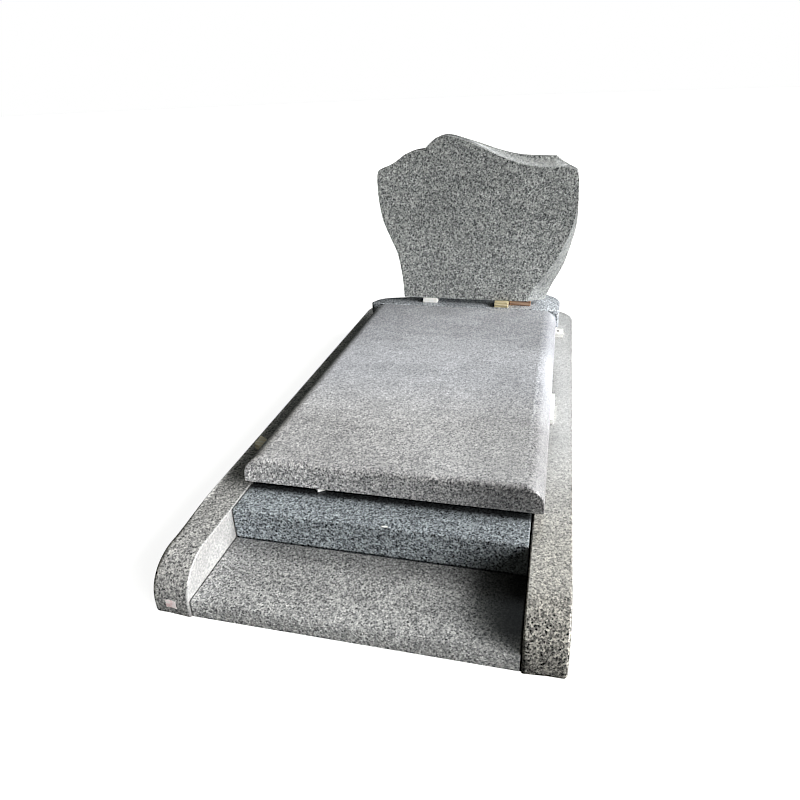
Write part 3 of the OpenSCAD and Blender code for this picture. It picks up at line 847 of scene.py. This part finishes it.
def blank_mark():
    """Small blank paper mark stuck on the left kerb's front, following its curve."""
    x0, x1, z0, z1 = -0.4665, -0.4385, 0.0235, 0.0470
    y_front = FRONT + 0.0007
    nx, nz = 12, 12
    rnd = random.Random(5)
    verts = []
    for layer in (0, 1):
        for i in range(nx + 1):
            for k in range(nz + 1):
                u, v = i / nx, k / nz
                x = x0 + (x1 - x0) * u
                z = z0 + (z1 - z0) * v + 0.0015 * math.sin(u * 5.0)
                # torn outline
                if i in (0, nx):
                    x += rnd.uniform(-0.0008, 0.0008)
                if k in (0, nz):
                    z += rnd.uniform(-0.0008, 0.0008)
                y = y_front if z <= H - NOSE else y_front + NOSE - math.sqrt(NOSE ** 2 - (z - (H - NOSE)) ** 2)
                lift = 0.0001 if layer == 0 else 0.0004
                verts.append((x, y - lift, z))
    n = (nx + 1) * (nz + 1)
    at = lambda layer, i, k: layer * n + i * (nz + 1) + k
    faces = []
    for i in range(nx):
        for k in range(nz):
            faces.append((at(1, i, k), at(1, i + 1, k), at(1, i + 1, k + 1), at(1, i, k + 1)))
            faces.append((at(0, i, k), at(0, i, k + 1), at(0, i + 1, k + 1), at(0, i + 1, k)))
    for i in range(nx):
        faces.append((at(0, i, 0), at(0, i + 1, 0), at(1, i + 1, 0), at(1, i, 0)))
        faces.append((at(0, i + 1, nz), at(0, i, nz), at(1, i, nz), at(1, i + 1, nz)))
    for k in range(nz):
        faces.append((at(0, 0, k + 1), at(0, 0, k), at(1, 0, k), at(1, 0, k + 1)))
        faces.append((at(0, nx, k), at(0, nx, k + 1), at(1, nx, k + 1), at(1, nx, k)))
    me = bpy.data.meshes.new("blank_mark")
    me.from_pydata(verts, [], faces)
    me.materials.append(paper("blank_paper"))
    for p in me.polygons:
        p.use_smooth = True
    me.set_sharp_from_angle(angle=math.radians(40))
    ob = bpy.data.objects.new("blank_mark", me)
    scene.collection.objects.link(ob)
    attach(ob, "root")


blank_mark()

# ---------------------------------------------------------------- stage
fm, t, bsdf = start_material("floor")
fo, fp = coords(t)
fn = add(t, "ShaderNodeTexNoise", {"Vector": fp, "Scale": 3.0, "Detail": 3.0})
fc = ramp(t, fn.outputs["Fac"], [(0.3, (0.27, 0.27, 0.27)), (0.7, (0.29, 0.29, 0.29))])
# painted shade: dark and unlit inside the frame, under the stones
fs = add(t, "ShaderNodeSeparateXYZ", {"Vector": fo})
inside = math_node(t, "MULTIPLY", math_node(t, "LESS_THAN", math_node(t, "ABSOLUTE", fs.outputs["X"]), INNER + 0.001),
                   math_node(t, "MULTIPLY", math_node(t, "GREATER_THAN", fs.outputs["Y"], FRONT + 0.007),
                             math_node(t, "LESS_THAN", fs.outputs["Y"], 0.791)))
t.links.new(mix(t, inside, fc, (0.04, 0.035, 0.03)), bsdf.inputs["Base Color"])
t.links.new(math_node(t, "MULTIPLY", math_node(t, "SUBTRACT", 1.0, inside), 0.9), bsdf.inputs["Emission Strength"])
bsdf.inputs["Roughness"].default_value = 0.9
bsdf.inputs["Specular IOR Level"].default_value = 0.1
bsdf.inputs["Emission Color"].default_value = (1, 1, 1, 1)
fl = bpy.data.meshes.new("floor")
fl.from_pydata([(-60, -60, 0), (60, -60, 0), (60, 60, 0), (-60, 60, 0)], [], [(0, 1, 2, 3)])
fl.materials.append(fm)
floor = bpy.data.objects.new("floor", fl)
scene.collection.objects.link(floor)

floor.visible_diffuse = False
floor.visible_glossy = False

# White backdrop dome, which only the camera sees.
dm = bpy.data.materials.new("backdrop")
dm.use_nodes = True
dt = dm.node_tree
dt.nodes.clear()
de = add(dt, "ShaderNodeEmission")
de.inputs["Color"].default_value = (1, 1, 1, 1)
de.inputs["Strength"].default_value = 1.0
do = add(dt, "ShaderNodeOutputMaterial")
dt.links.new(de.outputs[0], do.inputs["Surface"])
bm = bmesh.new()
bmesh.ops.create_uvsphere(bm, u_segments=48, v_segments=24, radius=55.0)
bmesh.ops.delete(bm, geom=[v for v in bm.verts if v.co.z < -8.0], context="VERTS")
dme = bpy.data.meshes.new("backdrop")
bm.to_mesh(dme)
bm.free()
dme.materials.append(dm)
dome = bpy.data.objects.new("backdrop", dme)
scene.collection.objects.link(dome)
dome.visible_diffuse = dome.visible_glossy = dome.visible_transmission = False
dome.visible_volume_scatter = dome.visible_shadow = False

# Soft light: low softboxes from the right and the front right, a weak one
# behind, and a faint even fill.
world = bpy.data.worlds.new("world")
scene.world = world
world.use_nodes = True
t = world.node_tree
bg = t.nodes["Background"]
tc = add(t, "ShaderNodeTexCoord")
sx = add(t, "ShaderNodeSeparateXYZ", {"Vector": tc.outputs["Generated"]})
az = math_node(t, "ARCTAN2", sx.outputs["Y"], sx.outputs["X"])
el = math_node(t, "ARCSINE", sx.outputs["Z"])
R = math.radians


def window(value, a, b, c, d):
    return math_node(t, "MULTIPLY", map_range(t, value, R(a), R(b)), map_range(t, value, R(c), R(d), 1.0, 0.0))


def softbox(strength, e, a):
    n = math_node(t, "MULTIPLY", window(el, *e), window(az, *a))
    return math_node(t, "MULTIPLY", n, strength)


LOW, MID = (5, 11, 19, 25), (19, 25, 35, 41)
SIDE, FACE, BACK = (-15, -5, 20, 30), (-50, -40, -15, -5), (75, 84, 96, 105)
boxes = [softbox(17.6, LOW, FACE), softbox(10.9, MID, FACE), softbox(25.7, MID, SIDE),
         softbox(1.7, MID, (20, 30, 50, 60)), softbox(2.4, MID, BACK), softbox(0.55, (35, 41, 52, 58), BACK)]
key = boxes[0]
for n in boxes[1:]:
    key = math_node(t, "ADD", key, n)
fill = map_range(t, el, R(-3), R(3), 0.03, 0.05)
left = math_node(t, "MULTIPLY", map_range(t, sx.outputs["X"], -0.2, -0.7), map_range(t, el, R(50), R(70), 1.0, 0.0))
left = math_node(t, "MULTIPLY", math_node(t, "MULTIPLY", left, map_range(t, el, R(0), R(8))), 0.33)
total = math_node(t, "ADD", math_node(t, "ADD", key, fill), left)
t.links.new(total, bg.inputs["Strength"])
dim = mix(t, math_node(t, "MULTIPLY", left, 3.0, clamp=True), (0.86, 0.95, 1.0), (1.0, 0.95, 0.76))
warm = mix(t, math_node(t, "MULTIPLY", key, 0.3, clamp=True), dim, (1.0, 0.99, 0.97))
t.links.new(warm, bg.inputs["Color"])

scene.view_settings.view_transform = "Standard"
scene.view_settings.look = "None"
scene.view_settings.exposure = 0.0
scene.view_settings.gamma = 0.8
# crisp like the photograph
scene.use_nodes = True
ct = scene.node_tree
ct.nodes.clear()
layers = ct.nodes.new("CompositorNodeRLayers")
crisp = ct.nodes.new("CompositorNodeFilter")
crisp.filter_type = "SHARPEN"
crisp.inputs["Fac"].default_value = 0.045
out = ct.nodes.new("CompositorNodeComposite")
ct.links.new(layers.outputs["Image"], crisp.inputs["Image"])
ct.links.new(crisp.outputs["Image"], out.inputs["Image"])
